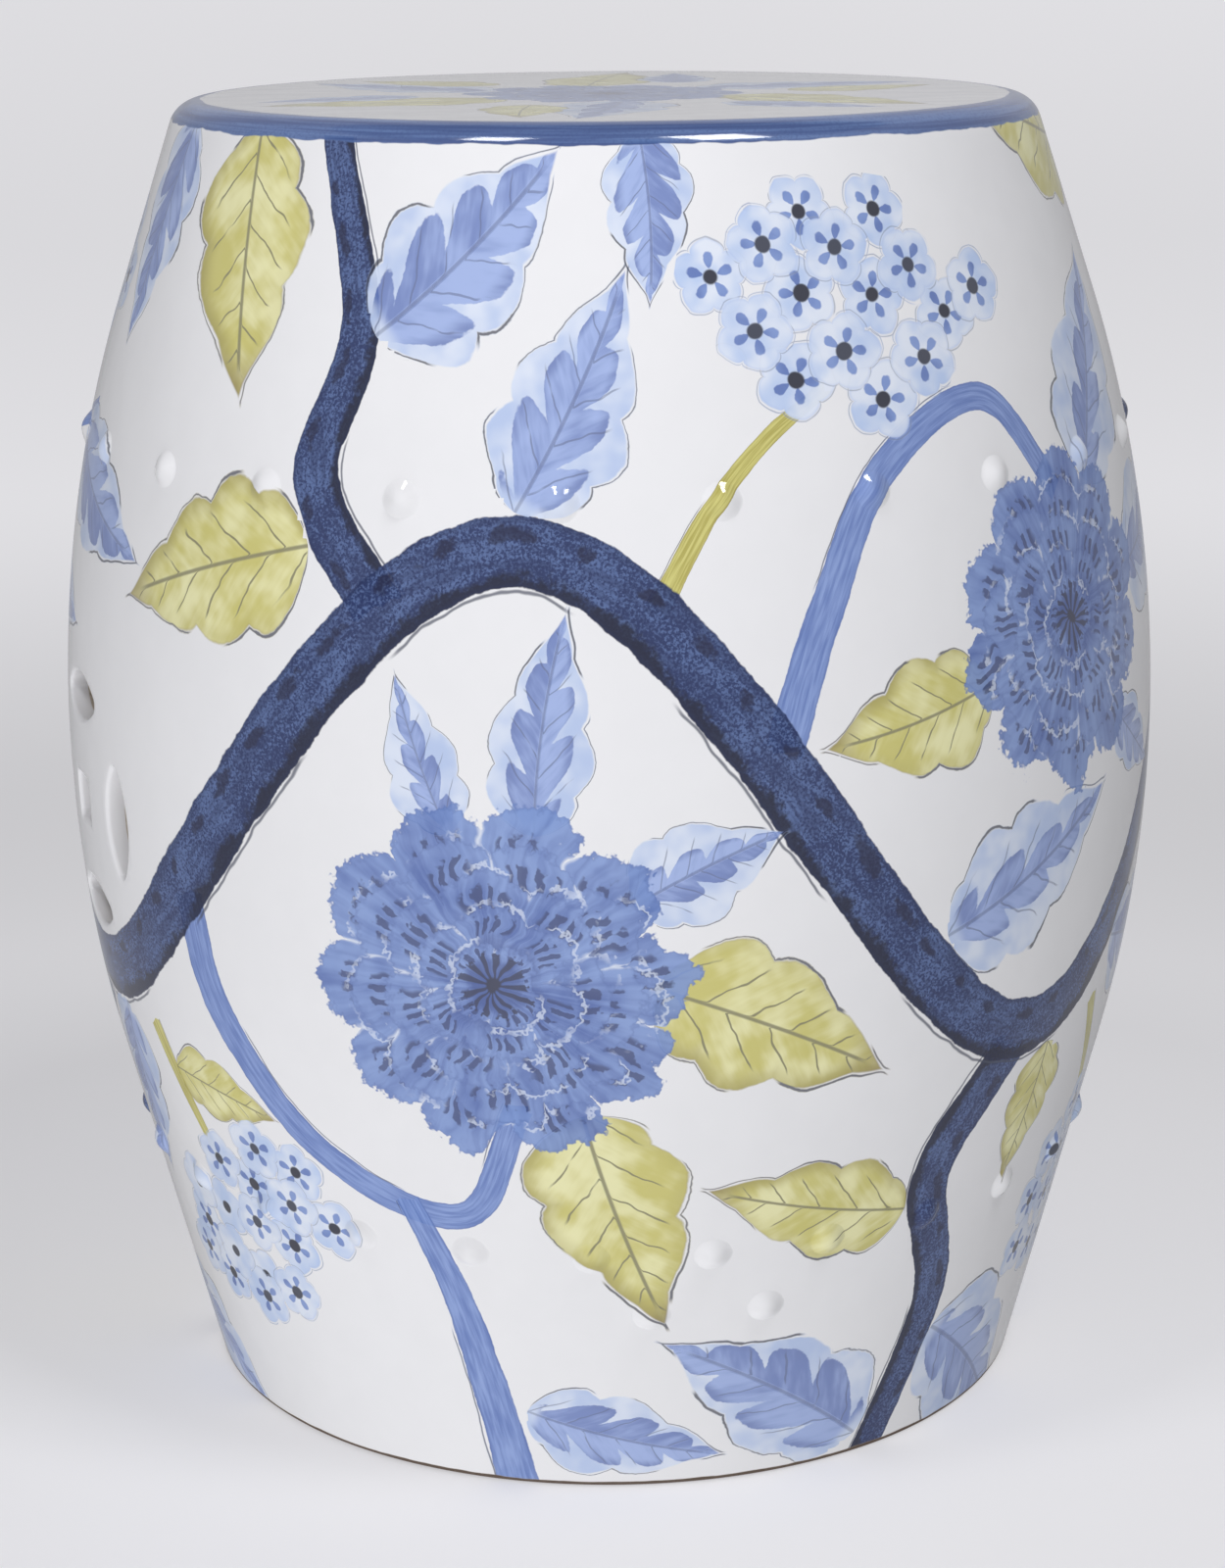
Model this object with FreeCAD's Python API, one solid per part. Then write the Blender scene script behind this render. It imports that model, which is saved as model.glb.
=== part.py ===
import FreeCAD, Part
import math
import os

from FreeCAD import Vector

# Barrel-shaped garden stool in glazed stoneware, closed by a flat seat and open underneath.
# Millimetres, +Z up. The origin is on the floor, at the centre of the foot.
# The two pierced coins, which serve as hand holds, face +X and -X.

# Barrel: one long arc through the belly, with a straight cone tangent to it at each end.
seat_height = 450.0
belly_radius = 192.3
belly_height = 236.0
side_arc_radius = 469.0
foot_cone_deg = 14.1
shoulder_cone_deg = 18.4
wall_thickness = 9.0

# Seat slab, luted on the top end of the wall.
seat_thickness = 12.0
seat_edge_radius = 11.0

# Foot ring: the thick unglazed end that stands on the floor.
foot_height = 8.0
foot_width = 14.0
foot_edge_radius = 1.5

# Pierced coin: four petals round a square hole, cut straight through the wall along X.
coin_height = 218.8
petal_length = 41.0
petal_width = 16.0
petal_tip_radius = 2.5
petal_distance = 36.3
square_side = 16.0
square_corner_radius = 2.0

# Bosses: low round studs pressed on by hand, in two rings and one short staggered row.
# Their angles are counted from -Y towards +X.
boss_diameter = 9.6
boss_rise = 2.7
upper_ring_height = 340.0
upper_ring_count = 23
upper_ring_start_deg = -87.3
lower_ring_height = 92.0
lower_ring_count = 27
lower_ring_start_deg = -89.2
staggered_height = 69.5
staggered_gaps = (5, 6)

# Extra length by which a cutter runs past what it cuts.
overrun = 20.0

AXIS = Vector(0, 0, 1)
ORIGIN = Vector(0, 0, 0)


def tangent_heights(depth):
    """Heights where the belly arc meets the two cones, at this depth under the outer face."""
    radius = side_arc_radius - depth
    low = belly_height - radius * math.sin(math.radians(foot_cone_deg))
    high = belly_height + radius * math.sin(math.radians(shoulder_cone_deg))
    return low, high


def wall_radius(z, depth=0.0):
    """Radius of the barrel at height z, measured at this depth under the outer face."""
    radius = side_arc_radius - depth
    centre = belly_radius - side_arc_radius
    low, high = tangent_heights(depth)
    if z < low:
        angle = math.radians(foot_cone_deg)
        return centre + radius * math.cos(angle) - (low - z) * math.tan(angle)
    if z > high:
        angle = math.radians(shoulder_cone_deg)
        return centre + radius * math.cos(angle) - (z - high) * math.tan(angle)
    return centre + math.sqrt(radius ** 2 - (z - belly_height) ** 2)


def wall_slope(z):
    """Angle in radians by which the outer face leans from vertical at height z."""
    low, high = tangent_heights(0.0)
    return math.asin((min(max(z, low), high) - belly_height) / side_arc_radius)


def side_edges(z_from, z_to, depth=0.0):
    """Edges that follow the barrel from one height to another, at this depth."""
    bottom, top = min(z_from, z_to), max(z_from, z_to)
    heights = [bottom] + [z for z in tangent_heights(depth) if bottom < z < top] + [top]
    if z_from > z_to:
        heights.reverse()
    low, high = tangent_heights(depth)
    edges = []
    for start, end in zip(heights, heights[1:]):
        first = Vector(wall_radius(start, depth), 0, start)
        last = Vector(wall_radius(end, depth), 0, end)
        middle = (start + end) / 2
        if low < middle < high:
            on_arc = Vector(wall_radius(middle, depth), 0, middle)
            edges.append(Part.Arc(first, on_arc, last).toShape())
        else:
            edges.append(Part.LineSegment(first, last).toShape())
    return edges


def line(start, end):
    """Straight edge between two points of the XZ half plane, given as (radius, height)."""
    return Part.LineSegment(Vector(start[0], 0, start[1]), Vector(end[0], 0, end[1])).toShape()


def revolved(edges):
    """Solid of revolution of a closed outline in the XZ half plane."""
    outline = Part.Wire(Part.__sortEdges__(edges))
    return Part.Face(outline).revolve(ORIGIN, AXIS, 360)


def wall_band(bottom, top):
    """The wall between two heights, as a ring of even thickness."""
    edges = side_edges(bottom, top)
    edges += side_edges(top, bottom, wall_thickness)
    for z in (bottom, top):
        edges.append(line((wall_radius(z), z), (wall_radius(z, wall_thickness), z)))
    return revolved(edges)


def barrel_envelope():
    """The barrel filled up to its outer face, which the bosses are seated on."""
    edges = side_edges(0, seat_height)
    edges.append(line((0, 0), (wall_radius(0), 0)))
    edges.append(line((wall_radius(seat_height), seat_height), (0, seat_height)))
    edges.append(line((0, seat_height), (0, 0)))
    return revolved(edges)


def petal_cutter(angle_deg):
    """One petal of the coin as a prism along X: two arcs that meet in rounded tips."""
    half_length = petal_length / 2
    half_width = petal_width / 2
    tips = [Vector(0, -half_length, 0), Vector(0, half_length, 0)]
    sides = [Part.Arc(tips[0], Vector(0, 0, z), tips[1]).toShape() for z in (half_width, -half_width)]
    reach = belly_radius + overrun
    prism = Part.Face(Part.Wire(Part.__sortEdges__(sides))).extrude(Vector(2 * reach, 0, 0))
    tip_edges = [edge for edge in prism.Edges if edge.BoundBox.XLength > reach]
    prism = prism.makeFillet(petal_tip_radius, tip_edges)
    prism.translate(Vector(-reach, 0, petal_distance))
    prism.rotate(ORIGIN, Vector(1, 0, 0), angle_deg)
    return prism


def square_cutter():
    """The square hole in the middle of the coin, as a prism along X with rounded corners."""
    reach = belly_radius + overrun
    corner = Vector(-reach, -square_side / 2, -square_side / 2)
    prism = Part.makeBox(2 * reach, square_side, square_side, corner)
    long_edges = [edge for edge in prism.Edges if edge.BoundBox.XLength > reach]
    return prism.makeFillet(square_corner_radius, long_edges)


def coin_cutters():
    """The five holes of the coin, cut through both sides of the wall at once."""
    cutters = [petal_cutter(quarter * 90) for quarter in range(4)] + [square_cutter()]
    for cutter in cutters:
        cutter.translate(Vector(0, 0, coin_height))
    return cutters


def luting_height():
    """Height of the joint between the two halves of the wall, in the clay above the side petals."""
    side_petal_top = coin_height + petal_length / 2
    top_petal_bottom = coin_height + petal_distance - petal_width / 2
    return (side_petal_top + top_petal_bottom) / 2


def foot_ring():
    """The foot: a flat ring with rounded edges, as wide as the foot and flush with the wall."""
    inner = wall_radius(foot_height) - foot_width
    edges = side_edges(0, foot_height)
    edges.append(line((wall_radius(foot_height), foot_height), (inner, foot_height)))
    edges.append(line((inner, foot_height), (inner, 0)))
    edges.append(line((inner, 0), (wall_radius(0), 0)))
    ring = revolved(edges)
    floor_edges = [edge for edge in ring.Edges if edge.BoundBox.ZMax < foot_edge_radius / 2]
    return ring.makeFillet(foot_edge_radius, floor_edges)


def seat_top():
    """The seat: a flat round slab whose edge turns down into the line of the wall."""
    underside = seat_height - seat_thickness
    edges = side_edges(underside, seat_height)
    edges.append(line((wall_radius(seat_height), seat_height), (0, seat_height)))
    edges.append(line((0, seat_height), (0, underside)))
    edges.append(line((0, underside), (wall_radius(underside), underside)))
    slab = revolved(edges)
    top_edges = [edge for edge in slab.Edges if edge.BoundBox.ZMin > seat_height - seat_edge_radius / 2]
    return slab.makeFillet(seat_edge_radius, top_edges)


def boss_cap(height, envelope):
    """One boss on the -Y side: the part of a ball that stands proud of the wall."""
    base = boss_diameter / 2
    ball_radius = (base ** 2 + boss_rise ** 2) / (2 * boss_rise)
    lean = wall_slope(height)
    outward = Vector(0, -math.cos(lean), math.sin(lean))
    seat_point = Vector(0, -wall_radius(height), height)
    centre = seat_point - outward * (ball_radius - boss_rise)
    return Part.makeSphere(ball_radius, centre).cut(envelope)


def boss_row(height, angles_deg, envelope):
    """Bosses at one height, as separate solids at the given angles."""
    cap = boss_cap(height, envelope)
    row = []
    for angle in angles_deg:
        boss = cap.copy()
        boss.rotate(ORIGIN, AXIS, angle)
        row.append(boss)
    return Part.makeCompound(row)


def ring_angles(start_deg, count, places):
    """Angles of the places 0, 1, 2 ... in an even ring; a half is midway between two."""
    return [start_deg + place * 360 / count for place in places]


def main():
    os.makedirs("parts", exist_ok=True)
    envelope = barrel_envelope()
    cutters = coin_cutters()
    seam = luting_height()
    lower_places = [gap + 0.5 for gap in staggered_gaps]
    nodes = {
        "foot_ring": foot_ring(),
        "lower_wall": wall_band(foot_height, seam).cut(cutters),
        "upper_wall": wall_band(seam, seat_height - seat_thickness).cut(cutters),
        "seat_top": seat_top(),
        "upper_bosses": boss_row(
            upper_ring_height,
            ring_angles(upper_ring_start_deg, upper_ring_count, range(upper_ring_count)),
            envelope),
        "lower_bosses": boss_row(
            lower_ring_height,
            ring_angles(lower_ring_start_deg, lower_ring_count, range(lower_ring_count)),
            envelope),
        "staggered_bosses": boss_row(
            staggered_height,
            ring_angles(lower_ring_start_deg, lower_ring_count, lower_places),
            envelope),
    }
    for name, shape in nodes.items():
        shape.exportStep(f"parts/{name}.step")
        print(name, "solids", len(shape.Solids), "volume", round(shape.Volume), "valid", shape.isValid())


main()
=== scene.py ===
import math

import bmesh
import bpy
import numpy as np
from mathutils import Matrix, Vector, geometry


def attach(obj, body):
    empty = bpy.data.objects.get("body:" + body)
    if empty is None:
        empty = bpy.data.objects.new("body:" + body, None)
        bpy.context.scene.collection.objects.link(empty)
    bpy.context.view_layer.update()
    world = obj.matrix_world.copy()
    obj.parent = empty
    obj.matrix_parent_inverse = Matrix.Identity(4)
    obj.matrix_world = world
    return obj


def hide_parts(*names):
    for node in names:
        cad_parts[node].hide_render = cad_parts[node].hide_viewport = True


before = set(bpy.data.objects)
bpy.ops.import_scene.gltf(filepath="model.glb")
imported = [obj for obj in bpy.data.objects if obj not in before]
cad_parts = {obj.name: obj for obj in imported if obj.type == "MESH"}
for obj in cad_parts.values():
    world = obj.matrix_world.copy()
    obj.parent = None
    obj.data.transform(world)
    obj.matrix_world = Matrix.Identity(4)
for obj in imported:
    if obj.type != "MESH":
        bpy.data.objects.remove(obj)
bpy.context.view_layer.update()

# Barrel-shaped garden stool: white glaze with blue and olive brushwork, on a plain pale floor.
# Metres, +Z up. Angles round the barrel are counted from -Y towards +X, as in the CAD source.
MM = 0.001

# The barrel's outline, as in the CAD source: an arc with a cone tangent to it at each end.
SEAT_HEIGHT = 450 * MM
BELLY_RADIUS = 192.3 * MM
BELLY_HEIGHT = 236 * MM
SIDE_ARC_RADIUS = 469 * MM
FOOT_CONE = math.radians(14.1)
SHOULDER_CONE = math.radians(18.4)
FOOT_CONE_TOP = 121.7 * MM
WALL_THICKNESS = 9 * MM
SEAT_UNDERSIDE = 438 * MM
SEAT_EDGE_RADIUS = 11 * MM
FOOT_HEIGHT = 8 * MM
FOOT_WIDTH = 14 * MM
FOOT_EDGE_RADIUS = 1.5 * MM

# The pierced coin.
COIN_HEIGHT = 218.8 * MM
PETAL_LENGTH = 41 * MM
PETAL_WIDTH = 16 * MM
PETAL_TIP_RADIUS = 2.5 * MM
PETAL_DISTANCE = 36.3 * MM
SQUARE_SIDE = 16 * MM
SQUARE_CORNER_RADIUS = 2 * MM
GLAZE_LIP = 1.5 * MM

# The rows of bosses: name, replaced node, count, first angle, spacing in degrees, and height.
BOSS_ROWS = (
    ("upper_ring", "upper_bosses", 23, -87.3, 360 / 23, 340 * MM),
    ("lower_ring", "lower_bosses", 27, -89.2, 360 / 27, 92 * MM),
    ("staggered_pair", "staggered_bosses", 2, -89.2 + 5.5 * 360 / 27, 360 / 27, 69.5 * MM),
)
BOSS_BASE_RADIUS = 6.4 * MM
BOSS_RISE = 2.5 * MM
BOSS_SUNK = 1.2 * MM

# How finely the wall is divided: its outer face, which carries the brushwork, and its inner face.
COLUMNS, INNER_COLUMNS = 432, 144
ROW_HEIGHT, INNER_ROWS = 2.6 * MM, 43
# The part of the wall that is meshed anew round a coin, to each side of it and above and below it.
PATCH_TURN = math.radians(20)
PATCH_HEIGHT = 54 * MM
SHARP_EDGE = math.radians(50)


# ---------------------------------------------------------------- the barrel's surface

def wall_radius(z, depth=0.0):
    """Radius of the barrel at each height, at this depth under the outer face."""
    z = np.asarray(z, float)
    radius = SIDE_ARC_RADIUS - depth
    centre = BELLY_RADIUS - SIDE_ARC_RADIUS
    low = BELLY_HEIGHT - radius * math.sin(FOOT_CONE)
    high = BELLY_HEIGHT + radius * math.sin(SHOULDER_CONE)
    arc = centre + np.sqrt(np.maximum(radius ** 2 - (z - BELLY_HEIGHT) ** 2, 0))
    foot = centre + radius * math.cos(FOOT_CONE) - (low - z) * math.tan(FOOT_CONE)
    shoulder = centre + radius * math.cos(SHOULDER_CONE) - (z - high) * math.tan(SHOULDER_CONE)
    return np.where(z < low, foot, np.where(z > high, shoulder, arc))


def hand_made(points):
    """How far the glaze lies inside the true form at each point: slow waves a fifth of a millimetre deep."""
    x, y, z = points.T
    turn = np.arctan2(x, -y)
    waves = (np.sin(3 * turn + 11 * z + 0.4) + np.sin(5 * turn - 23 * z + 2.1)
             + 0.7 * np.sin(9 * turn + 37 * z + 1.3) + 0.6 * np.sin(14 * turn - 61 * z))
    return 0.05 * MM * (waves + 3.3)


def ring(radius, z, columns):
    """Points of one level ring."""
    turn = np.arange(columns) * 2 * math.pi / columns
    return np.stack([radius * np.sin(turn), -radius * np.cos(turn), np.full(columns, z)], axis=1)


class Shell:
    """Collects the points and faces of one closed piece."""

    def __init__(self):
        self.points = []
        self.faces = []
        self.count = 0

    def add_points(self, points):
        """Adds points and returns their numbers."""
        points = np.asarray(points, float)
        self.points.append(points)
        numbers = np.arange(self.count, self.count + len(points))
        self.count += len(points)
        return numbers

    def join(self, first, second):
        """Quads between two rings of equally many points."""
        self.faces += np.stack([first, np.roll(first, -1), np.roll(second, -1), second], axis=1).tolist()

    def fan(self, rim, middle):
        """Triangles from a ring to one point."""
        self.faces += [[int(a), int(b), int(middle)] for a, b in zip(rim, np.roll(rim, -1))]

    def finish(self, name):
        """The finished object, with its faces outward and shaded smooth."""
        mesh = bpy.data.meshes.new(name)
        mesh.from_pydata(np.concatenate(self.points).tolist(), [], self.faces)
        shape = bmesh.new()
        shape.from_mesh(mesh)
        bmesh.ops.recalc_face_normals(shape, faces=shape.faces)
        shape.to_mesh(mesh)
        shape.free()
        mesh.shade_smooth()
        mesh.set_sharp_from_angle(angle=SHARP_EDGE)
        piece = bpy.data.objects.new(name, mesh)
        bpy.context.scene.collection.objects.link(piece)
        return piece


def lathe(name, profile):
    """A closed piece turned about the axis. The profile is a closed list of (radius, height),
    and a radius of 0 at its start and end closes the piece on the axis."""
    shell = Shell()
    rings = [shell.add_points(ring(r, z, COLUMNS)) for r, z in profile if r > 0]
    for first, second in zip(rings, rings[1:]):
        shell.join(first, second)
    if profile[0][0] == 0:
        for rim, end in ((rings[0], profile[0]), (rings[-1], profile[-1])):
            shell.fan(rim, shell.add_points([[0, 0, end[1]]])[0])
    else:
        shell.join(rings[-1], rings[0])
    return shell.finish(name)


# ---------------------------------------------------------------- the pierced coin

def quarter_turns(count):
    """The matrix that turns the coin's plane by this many right angles."""
    turn = count * math.pi / 2
    return np.array([[math.cos(turn), math.sin(turn)], [-math.sin(turn), math.cos(turn)]])


def petal_outline(quarter):
    """Outline of one petal in the coin's plane: its points and their outward directions."""
    half_length, half_width = PETAL_LENGTH / 2, PETAL_WIDTH / 2
    side = (half_length ** 2 + half_width ** 2) / (2 * half_width)
    drop = side - half_width
    tip = math.sqrt((side - PETAL_TIP_RADIUS) ** 2 - drop ** 2)
    bend = math.atan2(drop, tip)
    arcs = [((tip, 0), PETAL_TIP_RADIUS, -bend, bend, 9),
            ((0, -drop), side, bend, math.pi - bend, 22),
            ((-tip, 0), PETAL_TIP_RADIUS, math.pi - bend, math.pi + bend, 9),
            ((0, drop), side, math.pi + bend, 2 * math.pi - bend, 22)]
    points, outward = [], []
    for centre, radius, start, end, steps in arcs:
        for angle in np.linspace(start, end, steps, endpoint=False):
            direction = np.array([math.cos(angle), math.sin(angle)])
            points.append(np.array(centre) + radius * direction)
            outward.append(direction)
    spin = quarter_turns(quarter)
    points = (np.array(points) + [0, PETAL_DISTANCE]) @ spin
    return points + [0, COIN_HEIGHT], np.array(outward) @ spin


def square_outline():
    """Outline of the square hole in the coin's plane."""
    reach = SQUARE_SIDE / 2 - SQUARE_CORNER_RADIUS
    points, outward = [], []
    for corner in range(4):
        spin = quarter_turns(corner)
        for angle in np.linspace(0, math.pi / 2, 6):
            direction = np.array([math.cos(angle), math.sin(angle)])
            points.append((np.array([reach, reach]) + SQUARE_CORNER_RADIUS * direction) @ spin)
            outward.append(direction @ spin)
        for along in (0.2, 0.4, 0.6, 0.8):
            points.append(np.array([reach * (1 - 2 * along), SQUARE_SIDE / 2]) @ spin)
            outward.append(np.array([0, 1]) @ spin)
    return np.array(points) + [0, COIN_HEIGHT], np.array(outward)


def inside(outline, points):
    """Which points of the plane lie inside a closed outline."""
    a = outline[None, :, :]
    b = np.roll(outline, -1, axis=0)[None, :, :]
    p = points[:, None, :]
    crosses = (a[..., 1] > p[..., 1]) != (b[..., 1] > p[..., 1])
    rise = np.where(crosses, b[..., 1] - a[..., 1], 1)
    meets = a[..., 0] + (p[..., 1] - a[..., 1]) * (b[..., 0] - a[..., 0]) / rise
    return (np.sum(crosses & (p[..., 0] < meets), axis=1) % 2).astype(bool)


def on_wall(plane, side, depth):
    """Points of the coin's plane carried along X to the wall, at this depth under its face."""
    y, z = plane[:, 0], plane[:, 1]
    x = side * np.sqrt(wall_radius(z, depth) ** 2 - y ** 2)
    return np.stack([x, y, z], axis=1)


def loop_edges(start, count):
    """The edges of a closed loop of this many points, numbered from start."""
    return [(start + i, start + (i + 1) % count) for i in range(count)]


def pierced_face(shell, heights, columns, depth, holes, clearance):
    """One face of the wall, at one depth, as a grid with the coins' holes left open.
    Returns its bottom ring, its top ring and, for each side and hole, the ring round the hole."""
    grid = np.stack([shell.add_points(ring(float(wall_radius(z, depth)), z, columns)) for z in heights])
    low = int(np.searchsorted(heights, COIN_HEIGHT - PATCH_HEIGHT))
    high = int(np.searchsorted(heights, COIN_HEIGHT + PATCH_HEIGHT))
    step = 2 * math.pi / columns
    half = int(round(PATCH_TURN / step))
    points = np.concatenate(shell.points)
    patched = np.zeros((len(heights) - 1, columns), bool)
    rims = {}
    for side in (1, -1):
        middle = int(round((math.pi / 2 if side > 0 else 3 * math.pi / 2) / step))
        across = (np.arange(middle - half, middle + half + 1)) % columns
        patched[low:high, across[:-1]] = True
        numbers = grid[low:high + 1][:, across]
        border = np.concatenate([numbers[0, :-1], numbers[:-1, -1], numbers[-1, :0:-1], numbers[:0:-1, 0]])
        inner = numbers[1:-1, 1:-1].ravel()
        plane = points[inner][:, 1:]
        keep = np.ones(len(inner), bool)
        for outline, outward in holes:
            keep &= ~inside(outline + outward * clearance, plane)
        inner = inner[keep]
        used = list(border) + list(inner)
        flat = [points[n][1:] for n in used]
        edges = loop_edges(0, len(border))
        for hole, (outline, outward) in enumerate(holes):
            rim_plane = outline + outward * GLAZE_LIP
            rims[side, hole] = shell.add_points(on_wall(rim_plane, side, depth))
            edges += loop_edges(len(used), len(rim_plane))
            used += list(rims[side, hole])
            flat += list(rim_plane)
        cut = geometry.delaunay_2d_cdt([Vector(p) for p in flat], edges, [], 1, 1e-7, True)
        corners = np.array([p[:] for p in cut[0]])
        triangles = np.array([face[:] for face in cut[2]])
        centres = corners[triangles].mean(axis=1)
        open_hole = np.zeros(len(triangles), bool)
        for outline, outward in holes:
            open_hole |= inside(outline + outward * GLAZE_LIP, centres)
        source = [origin[0] for origin in cut[3]]
        shell.faces += [[int(used[source[c]]) for c in triangle] for triangle in triangles[~open_hole]]
    for row, column in zip(*np.nonzero(~patched)):
        beside = (column + 1) % columns
        shell.faces.append([int(grid[row, column]), int(grid[row, beside]),
                            int(grid[row + 1, beside]), int(grid[row + 1, column])])
    return grid[0], grid[-1], rims


def zip_rings(shell, fine, coarse):
    """Faces between a ring and a coarser one whose count divides the fine one's."""
    ratio = len(fine) // len(coarse)
    for place, corner in enumerate(coarse):
        run = [int(fine[(place * ratio + i) % len(fine)]) for i in range(ratio + 1)]
        beside = int(coarse[(place + 1) % len(coarse)])
        for i in range(ratio):
            shell.faces.append([run[i], run[i + 1], int(corner)])
        shell.faces.append([run[-1], beside, int(corner)])


def glazed_wall():
    """The wall as one closed piece, from the foot ring to the seat, with both coins cut through."""
    holes = [petal_outline(quarter) for quarter in range(4)] + [square_outline()]
    shell = Shell()
    rows = int(round((SEAT_UNDERSIDE - FOOT_HEIGHT) / ROW_HEIGHT))
    heights = np.linspace(FOOT_HEIGHT, SEAT_UNDERSIDE, rows + 1)
    coarse = np.linspace(FOOT_HEIGHT, SEAT_UNDERSIDE, INNER_ROWS + 1)
    bottom, top, outer = pierced_face(shell, heights, COLUMNS, 0.0, holes, GLAZE_LIP + 1.2 * MM)
    low, high, inner = pierced_face(shell, coarse, INNER_COLUMNS, WALL_THICKNESS, holes, GLAZE_LIP + 3 * MM)
    zip_rings(shell, bottom, low)
    zip_rings(shell, top, high)
    # each hole's rim, from face to face: how far out of the hole's outline, and how deep
    bends = np.radians([22.5, 45, 67.5, 90])
    rounded = [(GLAZE_LIP * (1 - math.sin(t)), GLAZE_LIP * (1 - math.cos(t))) for t in bends]
    levels = rounded + [(0.0, WALL_THICKNESS / 2)]
    levels += [(out, WALL_THICKNESS - deep) for out, deep in reversed(rounded)]
    for side in (1, -1):
        for hole, (outline, outward) in enumerate(holes):
            last = outer[side, hole]
            for out, deep in levels:
                rim = shell.add_points(on_wall(outline + outward * out, side, deep))
                shell.join(last, rim)
                last = rim
            shell.join(last, inner[side, hole])
    return shell.finish("glazed_wall")


# ---------------------------------------------------------------- seat and foot

def rounded_corner(before, corner, after, radius, steps):
    """Points of an arc of this radius in the corner of a profile."""
    corner = np.array(corner, float)
    back = np.array(before, float) - corner
    ahead = np.array(after, float) - corner
    back /= np.linalg.norm(back)
    ahead /= np.linalg.norm(ahead)
    half = math.acos(float(back @ ahead)) / 2
    bisector = (back + ahead) / np.linalg.norm(back + ahead)
    centre = corner + bisector * radius / math.sin(half)
    start = corner + back * radius / math.tan(half) - centre
    end = corner + ahead * radius / math.tan(half) - centre
    first, last = math.atan2(start[1], start[0]), math.atan2(end[1], end[0])
    last = first + (last - first + math.pi) % (2 * math.pi) - math.pi
    return [tuple(centre + radius * np.array([math.cos(angle), math.sin(angle)]))
            for angle in np.linspace(first, last, steps)]


def glazed_seat():
    """The seat slab: the end of the shoulder cone, a rounded edge and the flat round face."""
    foot = (float(wall_radius(SEAT_UNDERSIDE)), SEAT_UNDERSIDE)
    corner = (float(wall_radius(SEAT_HEIGHT)), SEAT_HEIGHT)
    edge = rounded_corner(foot, corner, (0, SEAT_HEIGHT), SEAT_EDGE_RADIUS, 15)
    face = [(r, SEAT_HEIGHT) for r in np.linspace(edge[-1][0], 1.5 * MM, 53)[1:]]
    under = [(r, SEAT_UNDERSIDE) for r in np.linspace(1.5 * MM, foot[0], 12)]
    profile = [(0, SEAT_UNDERSIDE)] + under + edge + face + [(0, SEAT_HEIGHT)]
    return lathe("glazed_seat", profile)


def standing_foot():
    """The foot ring, flush with the wall outside, with softly rounded edges on the floor."""
    inner = float(wall_radius(FOOT_HEIGHT)) - FOOT_WIDTH
    top_out = (float(wall_radius(FOOT_HEIGHT)), FOOT_HEIGHT)
    low_out = (float(wall_radius(0.0)), 0.0)
    profile = [top_out] + [(float(wall_radius(z)), z) for z in (6 * MM, 4 * MM)]
    profile += rounded_corner(top_out, low_out, (inner, 0), FOOT_EDGE_RADIUS, 7)
    profile += rounded_corner(low_out, (inner, 0), (inner, FOOT_HEIGHT), FOOT_EDGE_RADIUS, 7)
    profile += [(inner, FOOT_HEIGHT)]
    return lathe("standing_foot", profile)


# ---------------------------------------------------------------- bosses

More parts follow.
